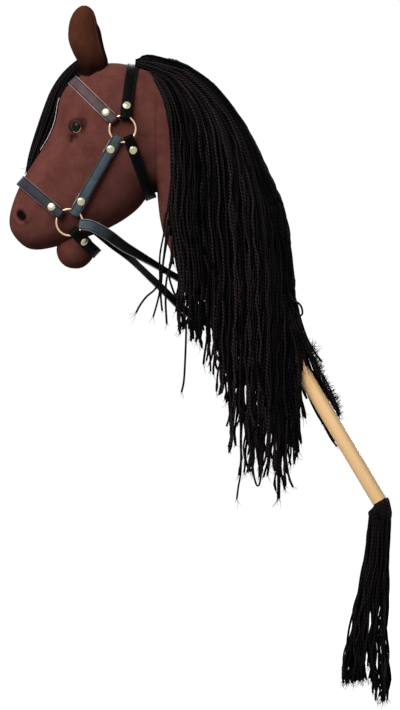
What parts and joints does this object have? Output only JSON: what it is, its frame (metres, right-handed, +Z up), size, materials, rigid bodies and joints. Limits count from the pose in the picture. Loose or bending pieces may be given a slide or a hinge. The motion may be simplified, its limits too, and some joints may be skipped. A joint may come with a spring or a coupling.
{
  "type": "hobby horse",
  "caption": "Toy horse head of stuffed suede on a round wooden stick, with a riveted halter, rings and reins, a long yarn mane and forelock, and a yarn tail that swings under the stick's end.",
  "frame": {"origin": "middle of the rider's grip, on the stick's axis, 110 mm above the stick's lower end", "axes": "+Z up with the stick leaning 30.8 degrees forward as in the picture, -X the way the horse looks, -Y the horse's left"},
  "size_m": [0.5531, 0.1496, 1.0068],
  "materials": {
    "stick_wood": "smooth sanded pale wood, clear coat",
    "filling": "loose polyester fibre",
    "suede": "brown imitation suede with a short nap",
    "lining": "black felt",
    "tape": "woven black tape",
    "blaze_felt": "pale felt",
    "eye": "polished black plastic",
    "washer": "moulded white plastic",
    "strap": "smooth black imitation leather, sewn along both edges",
    "ring": "pale brass plating",
    "rivet": "pale nickel and brass plating",
    "yarn": "black acrylic yarn",
    "screw": "zinc plated steel"
  },
  "bodies": {
    "horse": {"stick": "stick_wood", "head_filling": "filling", "neck_filling": "filling", "skin_left": "suede", "skin_right": "suede", "lower_lip": "suede", "ear_left": "suede", "ear_right": "suede", "ear_lining_left": "lining", "ear_lining_right": "lining", "neck_tie": "tape", "mane_tape": "tape", "blaze": "blaze_felt", "eye_left": "eye", "eye_right": "eye", "eye_washer_left": "washer", "eye_washer_right": "washer", "crown_strap": "strap", "brow_band": "strap", "throat_latch": "strap", "nose_band": "strap", "chin_strap": "strap", "cheek_strap_left": "strap", "cheek_strap_right": "strap", "reins": "strap", "rivet_crown_strap_left": "rivet", "rivet_crown_strap_right": "rivet", "rivet_brow_band_left": "rivet", "rivet_brow_band_right": "rivet", "rivet_throat_latch_left": "rivet", "rivet_throat_latch_right": "rivet", "rivet_nose_band_left": "rivet", "rivet_nose_band_right": "rivet", "rivet_chin_strap_left": "rivet", "rivet_chin_strap_right": "rivet", "rivet_cheek_top_left": "rivet", "rivet_cheek_top_right": "rivet", "rivet_cheek_low_left": "rivet", "rivet_cheek_low_right": "rivet", "mane_left": "yarn", "mane_right": "yarn", "forelock": "yarn", "tail_root": "yarn", "tail_screw": "screw"},
    "cheek_ring_left_body": {"cheek_ring_left": "ring"},
    "cheek_ring_right_body": {"cheek_ring_right": "ring"},
    "bit_ring_left_body": {"bit_ring_left": "ring"},
    "bit_ring_right_body": {"bit_ring_right": "ring"},
    "tail": {"tail_strands": "yarn"}
  },
  "joints": [
    {"name": "cheek_ring_left_turn", "type": "hinge", "parent": "horse", "child": "cheek_ring_left_body", "pos_m": [-0.31579, -0.07047, 0.44335], "axis": [0, 1, 0], "continuous": true},
    {"name": "cheek_ring_right_turn", "type": "hinge", "parent": "horse", "child": "cheek_ring_right_body", "pos_m": [-0.31579, 0.07047, 0.44335], "axis": [0, 1, 0], "continuous": true},
    {"name": "bit_ring_left_turn", "type": "hinge", "parent": "horse", "child": "bit_ring_left_body", "pos_m": [-0.3925, -0.05225, 0.3094], "axis": [0, 1, 0], "continuous": true},
    {"name": "bit_ring_right_turn", "type": "hinge", "parent": "horse", "child": "bit_ring_right_body", "pos_m": [-0.3925, 0.05225, 0.3094], "axis": [0, 1, 0], "continuous": true},
    {"name": "tail_swing", "type": "hinge", "parent": "horse", "child": "tail", "pos_m": [0.06144, 0, -0.10307], "axis": [0, 1, 0], "range_deg": [-50, 30]}
  ]
}
